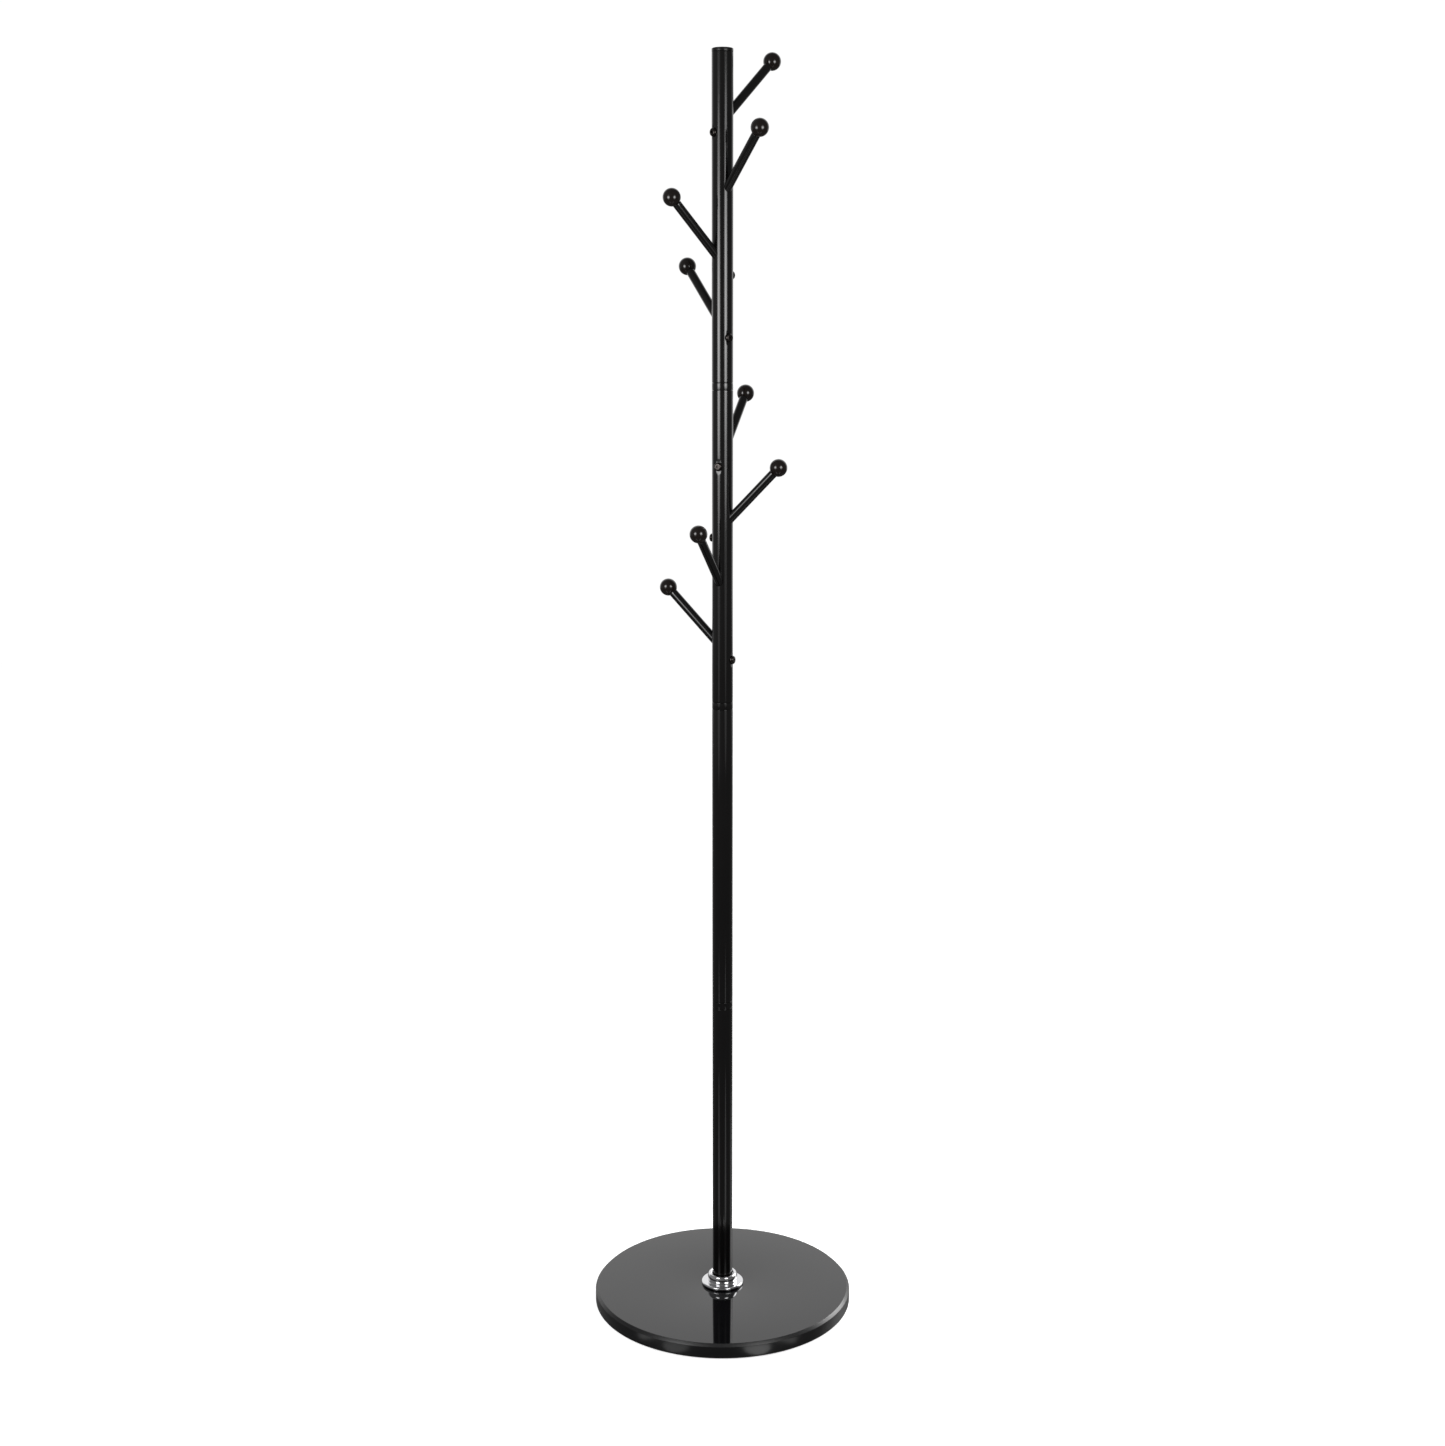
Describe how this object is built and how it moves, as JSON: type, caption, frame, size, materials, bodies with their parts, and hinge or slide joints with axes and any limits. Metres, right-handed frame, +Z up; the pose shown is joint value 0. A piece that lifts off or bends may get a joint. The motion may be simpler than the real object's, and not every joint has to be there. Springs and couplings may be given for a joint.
{
  "type": "standing coat rack",
  "caption": "Free-standing coat rack: slim round steel pole in screwed sections, slanted ball-ended pegs in two rising spirals, polished stone disc base with a chrome collar.",
  "frame": {"origin": "on the floor under the middle of the base", "axes": "+Z up along the pole, front towards -Y, +X to the right seen from the front"},
  "size_m": [0.37, 0.37, 1.7498],
  "materials": {
    "pole_paint": "black powder coat, semi-gloss",
    "ball_gloss": "black, glossy",
    "cap_plastic": "black moulded plastic, satin",
    "bolt_black": "black oxide",
    "zinc_steel": "zinc plated",
    "base_stone": "black, mirror polished",
    "collar_chrome": "bright chrome plate",
    "pad_rubber": "matt"
  },
  "bodies": {
    "root": {"base_disc": "base_stone", "base_collar": "collar_chrome", "base_bolt": "zinc_steel", "base_washer": "zinc_steel", "foot_pad_1": "pad_rubber", "foot_pad_2": "pad_rubber", "foot_pad_3": "pad_rubber", "foot_pad_4": "pad_rubber", "pole_tube_lower": "pole_paint", "pole_tube_middle": "pole_paint", "peg_tube_lower": "pole_paint", "peg_tube_upper": "pole_paint", "top_cap": "cap_plastic", "coupler_1": "pole_paint", "coupler_2": "pole_paint", "coupler_3": "pole_paint", "coupling_stud_1": "zinc_steel", "coupling_stud_2": "zinc_steel", "coupling_stud_3": "zinc_steel", "nut_insert_1": "zinc_steel", "nut_insert_2": "zinc_steel", "nut_insert_3": "zinc_steel", "nut_insert_4": "zinc_steel", "peg_rod_1": "pole_paint", "peg_rod_2": "pole_paint", "peg_rod_3": "pole_paint", "peg_rod_4": "pole_paint", "peg_rod_5": "pole_paint", "peg_rod_6": "pole_paint", "peg_rod_7": "pole_paint", "peg_rod_8": "pole_paint", "peg_ball_1": "ball_gloss", "peg_ball_2": "ball_gloss", "peg_ball_3": "ball_gloss", "peg_ball_4": "ball_gloss", "peg_ball_5": "ball_gloss", "peg_ball_6": "ball_gloss", "peg_ball_7": "ball_gloss", "peg_ball_8": "ball_gloss", "peg_bolt_1": "bolt_black", "peg_bolt_2": "bolt_black", "peg_bolt_3": "bolt_black", "peg_bolt_4": "bolt_black", "peg_bolt_5": "bolt_black", "peg_bolt_6": "bolt_black", "peg_bolt_7": "bolt_black", "peg_bolt_8": "bolt_black"}
  },
  "joints": []
}
